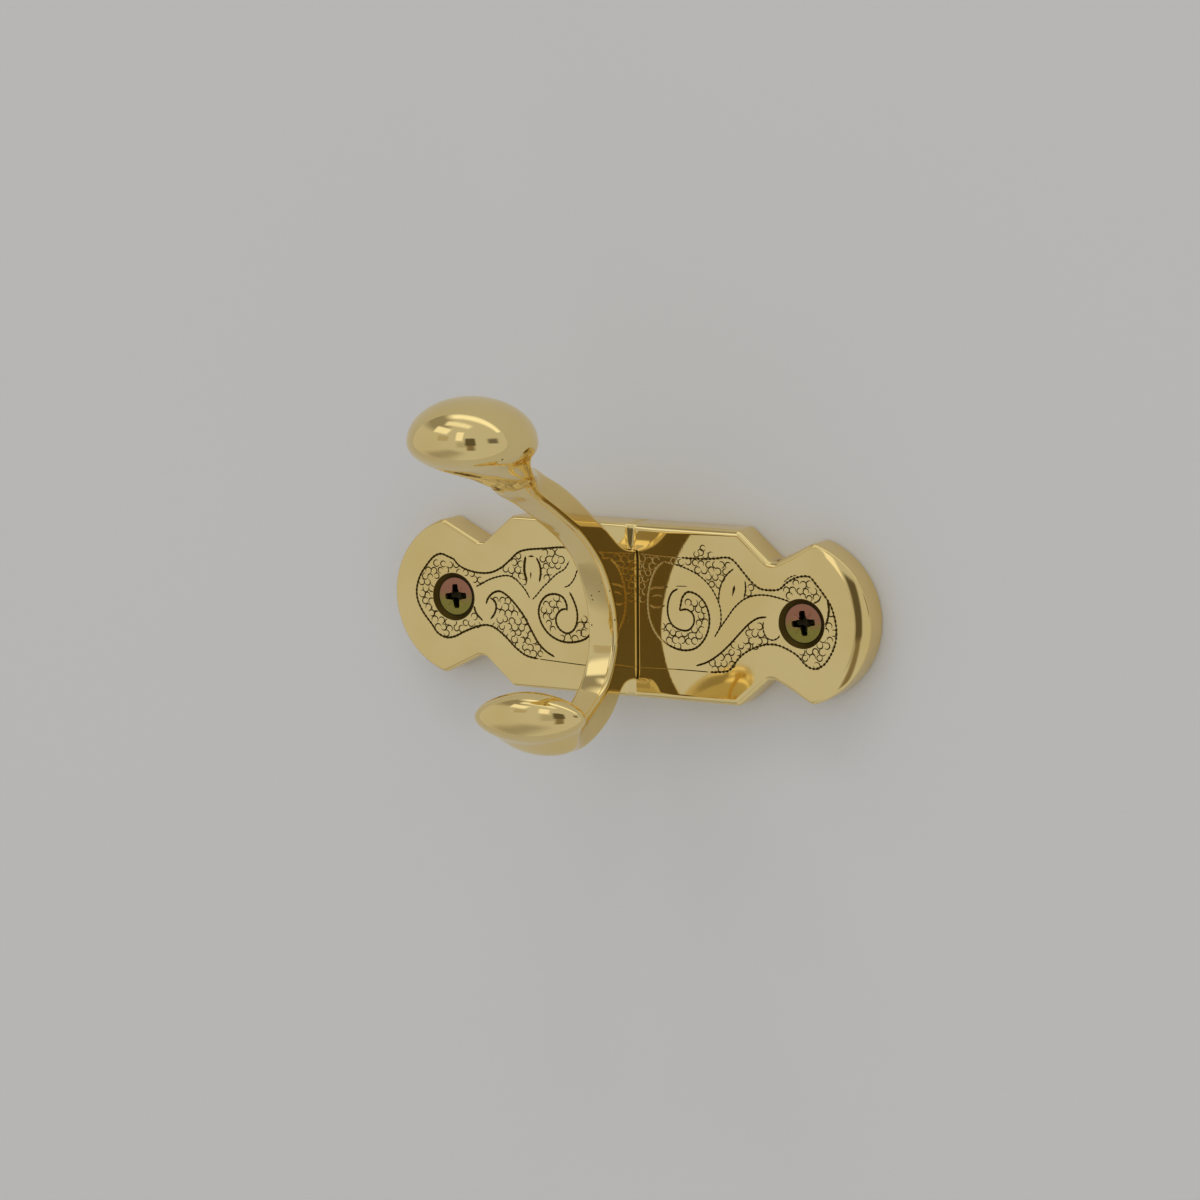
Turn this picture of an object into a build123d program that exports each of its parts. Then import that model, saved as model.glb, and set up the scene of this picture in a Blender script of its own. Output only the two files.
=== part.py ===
"""Double coat hook of cast brass on a lobed backplate, held to a wall by two wood screws.

Sizes are in millimetres. X runs along the plate, Y into the wall and Z up.
The plane Y = 0 is the wall, and the origin is the middle of the plate's back face.
"""

import os
from math import acos, cos, degrees, radians, sin

from build123d import *

# Backplate
plate_length = 106.6
plate_height = 35.2
plate_thickness = 7.2
lobe_depth = 11.8  # from a lobe's upper corner to the plate's end, along X
lobe_inset = 1.6  # how far the lobe's corner lies below the straight top edge
notch_width = 16.0  # from the end of the straight edge to the lobe's corner
notch_bottom = 9.0  # from the notch's lowest point to the lobe's corner
notch_depth = 6.2
notch_radius = 2.0
corner_radius = 1.3
edge_radius = 1.0  # front edge, rounded over by polishing
end_roll_start = 3.0  # width of the crescent at each end, where the face rolls over further
end_roll_arc = 18.95  # radius of the crescent's inner edge, seen from the front
end_roll_radius = 8.6
end_roll_slope = 19.0  # degrees by which the roll leaves the face
end_roll_finish = 75.0  # slope at which the cut ends, past the plate's end
end_roll_turn = 60.0  # degrees on each side of X over which the roll is cut

# Wood screws and their holes in the plate
screw_inset = 14.1  # from the plate's end
screw_shank_radius = 1.5
screw_thread_radius = 2.0
screw_head_radius = 4.0
screw_length = 30.0
screw_point = 4.0
thread_start = 0.1  # behind the plate's back face
hole_radius = 2.25
countersink_radius = 4.85

# Hook
hook_width = 6.3
hook_reach = 58.7  # from the plate's front to the middle of the upper knob
hook_rise = 40.1  # from the screws' line to the middle of the upper knob
arris_radius = 0.9
foot_width = 8.0
foot_flare = 2.0  # depth over which the foot narrows to the hook's width
foot_lift = 0.1  # the flare's lower end lies this far above the foot's
upper_knob = (12.2, 12.9, 8.1)  # radii along X, along its tilted depth and across that
upper_knob_tilt = 20.5  # degrees, front end up
lower_knob = (12.2, 6.2, 4.8)
lower_knob_tilt = 35.0
lower_knob_fullness = 0.47  # 0.55 gives an ellipse, and less a more pointed olive
knob_flat = 0.4  # radius of the flat where a knob's outline meets its axis
lower_knob_depth = 38.8
lower_knob_height = -15.6

# Machine screws that hold the hook's foot, from the plate's back
foot_screw_heights = (6.5, -7.5)
foot_screw_radius = 2.0
foot_screw_head = 3.9
foot_screw_sink = 0.3  # the head's flat lies this far inside the plate's back
foot_screw_depth = 6.5  # engagement in the foot
bore_spare = 0.5  # how much deeper than the screw the foot is bored
foot_hole_clearance = 0.25
thread_clearance = 0.02

front = -plate_thickness
screw_spacing = plate_length - 2 * screw_inset
drawn_knob = (58.7, 40.1)  # depth and height of the upper knob for which the side view's points are set
reach_scale = hook_reach / drawn_knob[0]
rise_scale = hook_rise / drawn_knob[1]
widest_round = 0.48  # of a section's thickness, the largest corner radius
on_base = (Align.CENTER, Align.CENTER, Align.MIN)  # a cylinder or cone that stands on its base


def side(depth, height):
    """A point of the hook's side view: (Y, Z) from the depth in front of the plate and the height."""
    return (front - depth * reach_scale, height * rise_scale)


def section(inner, outer, width, radius):
    """A rounded rectangle across the hook, spanned in the side view by two points."""
    (y0, z0), (y1, z1) = side(*inner), side(*outer)
    middle = (0, (y0 + y1) / 2, (z0 + z1) / 2)
    span = Vector(0, y1 - y0, z1 - z0)
    across = Vector(1, 0, 0)
    plane = Plane(origin=middle, x_dir=across, z_dir=across.cross(span))
    return plane * RectangleRounded(width, span.length, min(radius, widest_round * span.length))


def make_upper_knob():
    """A flattened ball with its front end up: an ellipsoid with a very small flat above and below."""
    across, deep, thick = upper_knob
    turn = degrees(acos(knob_flat / across))
    arc = EllipticalCenterArc((0, 0), across, thick, start_angle=-turn, arc_size=2 * turn)
    axis = Polyline(arc @ 1, (0, (arc @ 1).Y), (0, (arc @ 0).Y), arc @ 0)
    round_knob = revolve(Plane.XZ * make_face([arc.edge(), *axis.edges()]), Axis.Z)
    return Rot(-upper_knob_tilt, 0, 0) * scale(round_knob, by=(1, deep / across, 1))


def make_lower_knob():
    """An olive lying along X, a little flattened, and tilted like the arm's end."""
    half_length, deep, thick = lower_knob
    full = lower_knob_fullness
    tip = (half_length, knob_flat)
    right = Bezier((0, deep), (full * half_length, deep), (half_length, full * deep), tip)
    left = mirror(right, Plane.YZ)
    axis = Polyline((-tip[0], tip[1]), (-half_length, 0), (half_length, 0), tip)
    round_olive = revolve(Plane.XY * make_face([right.edge(), left.edge(), *axis.edges()]), Axis.X)
    return Rot(-lower_knob_tilt, 0, 0) * scale(round_olive, by=(1, 1, thick / deep))


def make_backplate():
    """The lobed plate with a rounded front edge, countersunk at the front for the wall screws."""
    end = plate_length / 2
    top = plate_height / 2
    corner = (end - lobe_depth, top - lobe_inset)
    notch = (corner[0] - notch_bottom, top - notch_depth)
    shoulder = (corner[0] - notch_width, top)

    def quarter(point, x_sign, z_sign):
        return (point[0] * x_sign, point[1] * z_sign)

    edges = []
    for x_sign in (1, -1):
        upper = [quarter(point, x_sign, 1) for point in (shoulder, notch, corner)]
        lower = [quarter(point, x_sign, -1) for point in (shoulder, notch, corner)]
        edges += Polyline(*upper).edges()
        edges += Polyline(*lower).edges()
        edges += ThreePointArc(upper[2], (end * x_sign, 0), lower[2]).edges()
    for z_sign in (1, -1):
        edges += Line(quarter(shoulder, -1, z_sign), quarter(shoulder, 1, z_sign)).edges()
    outline = make_face(edges)
    bends = outline.vertices().filter_by(lambda v: abs(abs(v.X) - notch[0]) < 0.01)
    outline = fillet(bends, notch_radius)
    points = outline.vertices().filter_by(
        lambda v: min(abs(abs(v.X) - corner[0]), abs(abs(v.X) - shoulder[0])) < 0.01
    )
    outline = fillet(points, corner_radius)
    plate = extrude(Plane.XZ * outline, plate_thickness)
    plate = fillet(plate.faces().sort_by(Axis.Y)[0].outer_wire().edges(), edge_radius)

    start = Vector(end - end_roll_start, front)
    slope = radians(end_roll_slope)
    middle = start + Vector(-end_roll_radius * sin(slope), end_roll_radius * cos(slope))
    roll = CenterArc(middle, end_roll_radius, end_roll_slope - 90, end_roll_finish - end_roll_slope)
    clear = front - edge_radius
    above = Polyline(roll @ 1, ((roll @ 1).X, clear), (start.X, clear), start)
    turning = Axis((start.X - end_roll_arc, 0, 0), (0, 1, 0))
    crescent = revolve(make_face([roll.edge(), *above.edges()]), turning, 2 * end_roll_turn)
    crescent = crescent.rotate(turning, -end_roll_turn)
    plate -= crescent
    plate -= mirror(crescent, Plane.YZ)

    sink = countersink_radius - hole_radius
    for x in (-screw_spacing / 2, screw_spacing / 2):
        at_wall = Location((x, 0, 0), (90, 0, 0))
        plate -= at_wall * Cylinder(hole_radius, plate_thickness, align=on_base)
        at_sink = Location((x, front + sink / 2, 0), (90, 0, 0))
        plate -= at_sink * Cone(hole_radius, countersink_radius, sink)

    through = foot_screw_radius + foot_hole_clearance
    seat = foot_screw_head + foot_screw_sink
    for z in foot_screw_heights:
        at_wall = Location((0, 0, z), (90, 0, 0))
        plate -= at_wall * Cylinder(through, plate_thickness, align=on_base)
        plate -= at_wall * Cone(seat, through, seat - through, align=on_base)
    return plate


def make_hook():
    """The casting: a flat-sided double arm, flaring at each end into a knob."""
    face_line = [
        (57.8, 35.0), (46.3, 29.7), (35.7, 24.7), (23.7, 18.3), (15.9, 12.0), (10.8, 3.8), (9.2, -4.4),
        (11.2, -10.6), (16.0, -15.3), (24.2, -19.2), (29.6, -19.6), (34.2, -17.4), (36.6, -15.2),
    ]
    lower_back = [
        (40.0, -18.8), (36.4, -21.6), (27.6, -23.7), (16.8, -21.4), (10.1, -17.9), (6.7, -14.6),
        (4.2, -13.6), (0.0, -13.9),
    ]
    upper_back = [
        (0.0, 12.3), (3.2, 12.9), (7.1, 14.5), (15.5, 19.6), (27.7, 26.6), (39.4, 31.7), (44.5, 34.5),
        (50.6, 40.0),
    ]
    face_edge = Spline(*[side(*point) for point in face_line])
    lower_edge = Spline(*[side(*point) for point in lower_back])
    upper_edge = Spline(*[side(*point) for point in upper_back])
    outline = make_face([
        face_edge.edge(),
        Line(side(*face_line[-1]), side(*lower_back[0])).edge(),
        lower_edge.edge(),
        Line(side(*lower_back[-1]), side(*upper_back[0])).edge(),
        upper_edge.edge(),
        Line(side(*upper_back[-1]), side(*face_line[0])).edge(),
    ])
    arm = extrude(Plane.YZ * outline, hook_width / 2, both=True)
    long_edges = arm.edges().filter_by(GeomType.BSPLINE)
    arm = fillet(long_edges, arris_radius)

    root = make_face(Polyline(
        (-foot_width / 2, front),
        (foot_width / 2, front),
        (hook_width / 2, front - foot_flare),
        (-hook_width / 2, front - foot_flare),
        close=True,
    ).edges())
    top, bottom = side(*upper_back[0])[1], side(*lower_back[-1])[1]
    arm += extrude(Pos(0, 0, bottom + foot_lift) * root, top - bottom - foot_lift)

    upper_flare = loft([
        section((38.5, 27.0), (36.5, 29.9), 4.4, 1.2),
        section((41.6, 28.1), (39.5, 31.2), 5.8, 1.3),
        section((46.3, 29.5), (43.5, 33.8), 8.8, 1.6),
        section((50.6, 31.2), (47.4, 36.5), 12.2, 2.3),
        section((54.8, 32.8), (50.8, 39.4), 15.6, 3.0),
        section((60.3, 34.7), (56.3, 43.5), 14.0, 3.9),
    ])
    lower_flare = loft([
        section((22.0, -19.0), (20.6, -22.0), 4.4, 1.1),
        section((24.6, -19.8), (23.6, -22.8), 5.8, 1.2),
        section((27.8, -19.7), (27.7, -23.8), 8.6, 1.6),
        section((31.4, -19.0), (32.6, -23.5), 11.4, 2.0),
        section((34.8, -16.6), (37.8, -21.7), 13.0, 2.6),
        section((38.3, -14.2), (41.0, -18.0), 11.0, 1.8),
    ])

    knob = Pos(0, *side(*drawn_knob)) * make_upper_knob()
    olive = Pos(0, *side(lower_knob_depth, lower_knob_height)) * make_lower_knob()

    upper_end = upper_flare + knob
    lower_end = lower_flare + olive
    hook = arm + upper_end + lower_end
    for height in foot_screw_heights:
        bore = Cylinder(foot_screw_radius + thread_clearance, foot_screw_depth + bore_spare, align=on_base)
        hook -= Location((0, front, height), (90, 0, 0)) * bore
    return hook


def turned(points):
    """A solid of revolution about Z from a (radius, height) outline that starts and ends on the axis."""
    outline = make_face(Polyline(*points, close=True).edges())
    return revolve(Plane.XZ * outline, Axis.Z)


def make_wall_screws():
    """Two countersunk wood screws: head sunk in the plate, plain shank, thread envelope and point."""
    sink = countersink_radius - screw_head_radius
    neck = screw_head_radius - screw_shank_radius
    under_plate = plate_thickness - sink + thread_start
    screw = turned([
        (0, 0),
        (screw_head_radius, 0),
        (screw_shank_radius, -neck),
        (screw_shank_radius, -under_plate),
        (screw_thread_radius, -under_plate),
        (screw_thread_radius, screw_point - screw_length),
        (0, -screw_length),
    ])
    heads = front + sink
    places = [Location((x, heads, 0), (90, 0, 0)) for x in (-screw_spacing / 2, screw_spacing / 2)]
    return Compound(children=[place * screw for place in places])


def make_foot_screws():
    """Two countersunk machine screws from the plate's back into the hook's foot."""
    length = plate_thickness - foot_screw_sink + foot_screw_depth
    cone = foot_screw_head - foot_screw_radius
    screw = turned([
        (0, 0),
        (foot_screw_head, 0),
        (foot_screw_radius, cone),
        (foot_screw_radius, length),
        (0, length),
    ])
    places = [Location((0, -foot_screw_sink, z), (90, 0, 0)) for z in foot_screw_heights]
    return Compound(children=[place * screw for place in places])


os.makedirs("parts", exist_ok=True)
export_step(make_backplate(), "parts/backplate.step")
export_step(make_hook(), "parts/hook.step")
export_step(make_wall_screws(), "parts/wall_screws.step")
export_step(make_foot_screws(), "parts/foot_screws.step")
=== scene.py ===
"""Looks of a double coat hook: a polished brass casting on a lobed, engraved brass backplate."""

import bmesh
import bpy
import numpy as np
from mathutils import Matrix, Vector
from mathutils.geometry import delaunay_2d_cdt


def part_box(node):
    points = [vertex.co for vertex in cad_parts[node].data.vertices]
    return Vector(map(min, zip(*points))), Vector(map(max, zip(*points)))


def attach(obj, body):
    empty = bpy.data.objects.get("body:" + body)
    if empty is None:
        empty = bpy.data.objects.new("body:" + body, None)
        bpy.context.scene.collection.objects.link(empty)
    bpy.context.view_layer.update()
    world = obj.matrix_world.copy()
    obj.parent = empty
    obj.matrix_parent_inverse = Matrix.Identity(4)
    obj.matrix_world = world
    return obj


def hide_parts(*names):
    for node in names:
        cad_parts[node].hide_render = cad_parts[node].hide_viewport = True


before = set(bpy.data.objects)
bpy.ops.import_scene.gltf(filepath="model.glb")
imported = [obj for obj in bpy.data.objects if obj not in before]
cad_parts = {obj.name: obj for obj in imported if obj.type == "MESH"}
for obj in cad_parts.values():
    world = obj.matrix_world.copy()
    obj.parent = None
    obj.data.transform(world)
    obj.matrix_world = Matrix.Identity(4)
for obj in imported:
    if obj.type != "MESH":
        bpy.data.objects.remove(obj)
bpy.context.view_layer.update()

# Backplate
# A brass casting about 7 mm thick, filed to a lobed outline and polished, so that its front edge rolls over.
# Scrolls and leaves are cut into its face with a graver, and the ground between them is struck with a ring
# punch. Two wood screws hold it to the wall, and two machine screws from behind hold the hook to it.
mm = 0.001
plate_low, plate_high = np.array(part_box("backplate")) / mm
plate_end = plate_high[0]
plate_top = plate_high[2]
face_y = plate_low[1]
lobe_corner = np.array([plate_end - 11.8, plate_top - 1.6])
notch_point = np.array([lobe_corner[0] - 9.0, plate_top - 6.2])
shoulder = np.array([lobe_corner[0] - 16.0, plate_top])
corner_stretch = 1.3
notch_stretch = 2.2
notch_spread = 2.0
head_radius = 4.0
screw_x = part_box("wall_screws")[1].x / mm - head_radius
sink_radius = 4.85
sink_lip = 0.12
hole_radius = 2.25
foot_head_radius = 3.9
foot_screw_low, foot_screw_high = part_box("foot_screws")
foot_screw_z = (foot_screw_low.z / mm + foot_head_radius, foot_screw_high.z / mm - foot_head_radius)
foot_sink_radius = 4.2
brass_light = (0.90, 0.715, 0.325, 1.0)
brass_deep = (0.86, 0.655, 0.27, 1.0)
patina = (0.085, 0.055, 0.011, 1.0)
# Painted reflection: the bright colour that the cuts beside the hook's foot are painted.
cut_painted_reflection = (0.66, 0.49, 0.19, 1.0)


def plate_outline(count):
    """The plate's outline as (x, z) at even steps, clockwise from the front, with its inward normals.

    Straight runs join the shoulders, notches and lobe corners, and a circular arc rounds each end. Each point
    is the mean of that sharp outline over a short stretch, longer at the notches, which rounds the corners.
    """
    rise = plate_end - lobe_corner[0]
    radius = (lobe_corner[1] ** 2 + rise**2) / (2 * rise)
    turn = np.arcsin(lobe_corner[1] / radius)
    angle = np.linspace(turn, -turn, 400)
    arc = np.column_stack([plate_end - radius + radius * np.cos(angle), radius * np.sin(angle)])
    right = np.vstack([shoulder, notch_point, arc, notch_point * (1, -1), shoulder * (1, -1)])
    sharp = np.vstack([right, -right, right[:1]])
    along = np.concatenate([[0], np.cumsum(np.linalg.norm(np.diff(sharp, axis=0), axis=1))])
    length = along[-1]
    fine = np.linspace(-6, length + 6, 6000)
    track = np.column_stack([np.interp(fine % length, along, sharp[:, i]) for i in (0, 1)])
    area = np.vstack([np.zeros(2), np.cumsum((track[1:] + track[:-1]) / 2 * np.diff(fine)[:, None], axis=0)])
    at = np.linspace(0, length, 4001)
    here = np.column_stack([np.interp(at, along, sharp[:, i]) for i in (0, 1)])
    from_notch = np.linalg.norm(np.abs(here) - notch_point, axis=1)
    stretch = corner_stretch + notch_stretch * np.exp(-((from_notch / notch_spread) ** 2))
    ahead = np.column_stack([np.interp(at + stretch / 2, fine, area[:, i]) for i in (0, 1)])
    behind = np.column_stack([np.interp(at - stretch / 2, fine, area[:, i]) for i in (0, 1)])
    soft = (ahead - behind) / stretch[:, None]
    run = np.concatenate([[0], np.cumsum(np.linalg.norm(np.diff(soft, axis=0), axis=1))])
    even = np.arange(count) * run[-1] / count
    points = np.column_stack([np.interp(even, run, soft[:, i]) for i in (0, 1)])
    tangent = np.roll(points, -1, axis=0) - np.roll(points, 1, axis=0)
    tangent /= np.linalg.norm(tangent, axis=1)[:, None]
    return points, np.column_stack([tangent[:, 1], -tangent[:, 0]])


def curve_through(points, step):
    """A smooth curve through given points at even steps: cubics whose slope at a point is the mean of the
    slopes on both sides of it.
    """
    p = np.asarray(points, float)
    chord = np.concatenate([[0], np.cumsum(np.sqrt(np.linalg.norm(np.diff(p, axis=0), axis=1)))])
    slope = np.gradient(p, chord, axis=0, edge_order=1)
    t = np.linspace(0, chord[-1], 40 * len(p))
    k = np.clip(np.searchsorted(chord, t, side="right") - 1, 0, len(p) - 2)
    width = (chord[k + 1] - chord[k])[:, None]
    v = ((t - chord[k])[:, None]) / width
    line = (2 * v**3 - 3 * v**2 + 1) * p[k] + (v**3 - 2 * v**2 + v) * width * slope[k]
    line += (3 * v**2 - 2 * v**3) * p[k + 1] + (v**3 - v**2) * width * slope[k + 1]
    run = np.concatenate([[0], np.cumsum(np.linalg.norm(np.diff(line, axis=0), axis=1))])
    even = np.linspace(0, run[-1], max(3, int(round(run[-1] / step)) + 1))
    return np.column_stack([np.interp(even, run, line[:, i]) for i in (0, 1)])


def inside(points, polygon):
    """True where a point lies in a polygon: a ray along +x crosses its sides an odd number of times."""
    a, b = np.asarray(polygon, float), np.roll(np.asarray(polygon, float), -1, axis=0)
    p = points[:, None]
    spans = (a[:, 1] > p[..., 1]) != (b[:, 1] > p[..., 1])
    rise = np.where(a[:, 1] == b[:, 1], 1.0, b[:, 1] - a[:, 1])
    crossing = a[:, 0] + (p[..., 1] - a[:, 1]) * (b[:, 0] - a[:, 0]) / rise
    return (spans & (p[..., 0] < crossing)).sum(1) % 2 == 1


# Each cut is (width in mm, wriggle, points). Wriggle 1 is a line walked from corner to corner of the graver.
left_cuts = [
    (0.44, 0.5, [(-38.6, 7.6), (-40.3, 8.2), (-42.1, 8.7), (-43.7, 8.1), (-45.6, 6.1), (-47.2, 3.7),
                 (-48.0, 1.0), (-47.8, -1.2), (-46.6, -3.6), (-44.4, -6.2), (-43.1, -7.8), (-41.2, -8.6),
                 (-39.2, -8.3), (-36.6, -7.0), (-33.4, -5.7), (-31.4, -5.35), (-29.6, -5.75),
                 (-27.0, -7.5), (-24.6, -9.6), (-22.2, -11.0), (-19.4, -11.45)]),
    (0.16, 0.0, [(-19.4, -11.45), (-14.0, -11.7), (-9.0, -11.9), (-4.0, -11.9)]),
    (0.40, 0.4, [(-39.3, 8.0), (-37.9, 6.6), (-36.0, 5.8), (-33.2, 5.35), (-30.4, 5.6), (-28.0, 6.7),
                 (-25.8, 8.5), (-24.0, 10.1), (-22.2, 10.75), (-18.0, 11.3), (-13.8, 11.8), (-9.0, 11.9),
                 (-4.0, 11.9)]),
    (0.34, 0.6, [(-34.0, 2.4), (-32.6, 3.1), (-31.0, 4.0), (-28.8, 4.8), (-26.6, 5.2), (-25.0, 4.85),
                 (-23.4, 3.6), (-22.2, 2.3), (-21.3, 0.8)]),
    (0.32, 0.8, [(-20.8, 0.6), (-19.7, 1.7), (-18.4, 3.2), (-16.9, 4.6), (-15.2, 6.2), (-13.2, 7.5),
                 (-12.1, 9.2)]),
    (0.52, 0.2, [(-22.2, 9.5), (-22.5, 7.8), (-22.5, 6.2), (-21.9, 4.2)]),
    (0.42, 0.2, [(-19.8, 9.4), (-19.0, 8.0), (-18.75, 6.3), (-19.1, 4.3)]),
    (0.34, 0.0, [(-21.6, 9.4), (-20.9, 9.55), (-20.2, 9.5)]),
    (0.42, 0.3, [(-31.6, -1.1), (-31.1, 0.2), (-29.9, 1.4), (-28.4, 1.85), (-26.8, 1.2), (-24.6, -0.7),
                 (-22.6, -3.1), (-20.9, -5.9), (-19.4, -8.2), (-17.6, -9.8), (-15.6, -10.8)]),
    (0.40, 0.2, [(-30.7, 0.4), (-29.5, -0.3), (-29.2, -1.6), (-29.7, -3.0), (-30.6, -4.1)]),
    (0.40, 0.2, [(-33.6, 0.4), (-34.3, -1.2), (-34.0, -2.9), (-32.3, -4.6)]),
    (0.42, 0.3, [(-12.75, -1.2), (-12.9, 0.3), (-13.7, 1.6), (-15.4, 2.15), (-17.4, 1.7), (-18.8, 0.2),
                 (-19.3, -1.7), (-18.7, -4.0), (-17.0, -6.1), (-14.6, -7.3), (-12.0, -7.5), (-8.6, -6.5),
                 (-6.4, -4.2)]),
    (0.40, 0.3, [(-12.7, -0.7), (-14.0, -0.95), (-15.2, -2.3), (-15.2, -3.9), (-14.2, -5.2), (-12.7, -5.7),
                 (-11.2, -4.8), (-10.45, -2.9), (-10.5, -0.9), (-11.2, 1.1), (-12.2, 2.9)]),
    (0.30, 0.6, [(-13.4, 3.65), (-12.2, 4.2), (-11.0, 5.7), (-10.4, 7.2), (-9.4, 8.6), (-7.6, 9.9)]),
]
right_cuts = [
    (0.20, 0.6, [(4.0, 11.6), (9.0, 11.4), (13.0, 11.4)]),
    (0.44, 1.0, [(13.0, 11.4), (16.5, 11.4), (20.0, 11.6), (22.2, 12.0), (23.8, 11.95), (25.0, 11.1),
                 (26.8, 9.2), (28.6, 7.4), (30.3, 6.35), (32.4, 6.2), (34.4, 6.5), (36.0, 7.9),
                 (38.2, 9.1), (40.8, 9.4), (42.2, 8.1), (44.0, 6.0), (45.3, 4.2), (46.2, 1.9),
                 (46.65, -0.8), (46.4, -3.4), (45.4, -5.8), (43.8, -7.9), (41.8, -8.7), (40.2, -8.1),
                 (38.4, -6.4), (36.2, -5.25), (33.8, -4.55), (31.4, -4.7), (28.6, -5.7), (26.2, -7.3),
                 (24.8, -8.9), (23.5, -10.45), (21.6, -10.9), (19.2, -11.1)]),
    (0.16, 0.0, [(19.2, -11.1), (14.0, -11.1), (9.0, -11.2), (4.0, -11.4)]),
    (0.26, 1.0, [(35.3, 7.9), (36.6, 9.0), (38.2, 9.6)]),
    (0.42, 0.3, [(44.7, 5.0), (45.05, 3.2), (44.7, 1.1), (43.9, -0.9)]),
    (0.30, 0.3, [(43.4, 6.0), (42.9, 4.9), (41.6, 4.15)]),
    (0.34, 0.7, [(20.3, -4.1), (21.4, -2.3), (23.0, -0.1), (24.8, 2.3), (26.8, 4.0), (29.0, 4.9),
                 (31.4, 5.15), (34.0, 4.85), (37.2, 4.1)]),
    (0.34, 0.4, [(27.0, 7.8), (27.15, 6.0), (26.75, 4.1)]),
    (0.34, 0.6, [(24.6, 10.0), (23.0, 8.6), (21.8, 6.6), (21.3, 4.2), (21.35, 3.0)]),
    (0.34, 0.9, [(9.2, 10.4), (11.6, 10.0), (14.2, 9.3), (16.6, 8.3), (18.8, 6.7), (20.5, 4.5),
                 (21.6, 1.9), (21.75, -0.8), (21.3, -2.6)]),
    (0.42, 0.5, [(12.6, 0.7), (12.9, 2.0), (13.3, 3.5), (14.4, 4.6), (16.4, 4.25), (18.2, 2.7),
                 (19.15, 0.3), (19.1, -2.1), (18.1, -4.6), (16.2, -6.5), (13.6, -7.15), (10.8, -6.6),
                 (8.4, -5.2), (6.7, -3.0), (5.8, -0.2), (5.7, 3.0), (6.4, 6.4), (7.6, 8.9), (9.2, 10.4)]),
    (0.36, 0.2, [(12.5, 0.75), (14.2, 1.1), (15.6, 0.2), (15.8, -1.5), (14.6, -3.0), (12.8, -3.1),
                 (11.0, -2.2), (10.1, -0.4), (10.1, 2.2), (11.0, 4.3), (12.4, 5.2)]),
    (0.14, 0.0, [(11.6, 5.6), (13.0, 5.7), (14.5, 5.75)]),
    (0.34, 0.2, [(6.1, 4.5), (7.2, 5.0), (8.7, 5.1), (10.2, 5.4)]),
    (0.30, 0.2, [(6.6, 3.1), (7.4, 3.5), (8.5, 3.5), (9.4, 3.3)]),
    (0.34, 0.2, [(6.0, 1.5), (7.0, 1.1), (8.3, 1.2), (9.5, 1.6)]),
    (0.36, 0.3, [(16.2, -10.1), (18.6, -9.2), (21.2, -7.5), (23.6, -5.3), (26.0, -2.7), (28.0, -0.7),
                 (29.8, 0.45), (31.8, 0.85)]),
    (0.32, 0.7, [(31.0, 0.0), (31.0, -1.9), (31.8, -3.3), (33.1, -3.65), (34.3, -3.0), (34.6, -2.4)]),
]
# Each slit is (width, points): a short deep stroke that tapers to its end.
leaf_slits = [
    (0.50, [(-21.05, 6.4), (-21.05, 5.6), (-21.1, 4.7)]),
    (0.85, [(24.75, 6.7), (24.5, 5.5), (24.2, 4.3)]),
]
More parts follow.
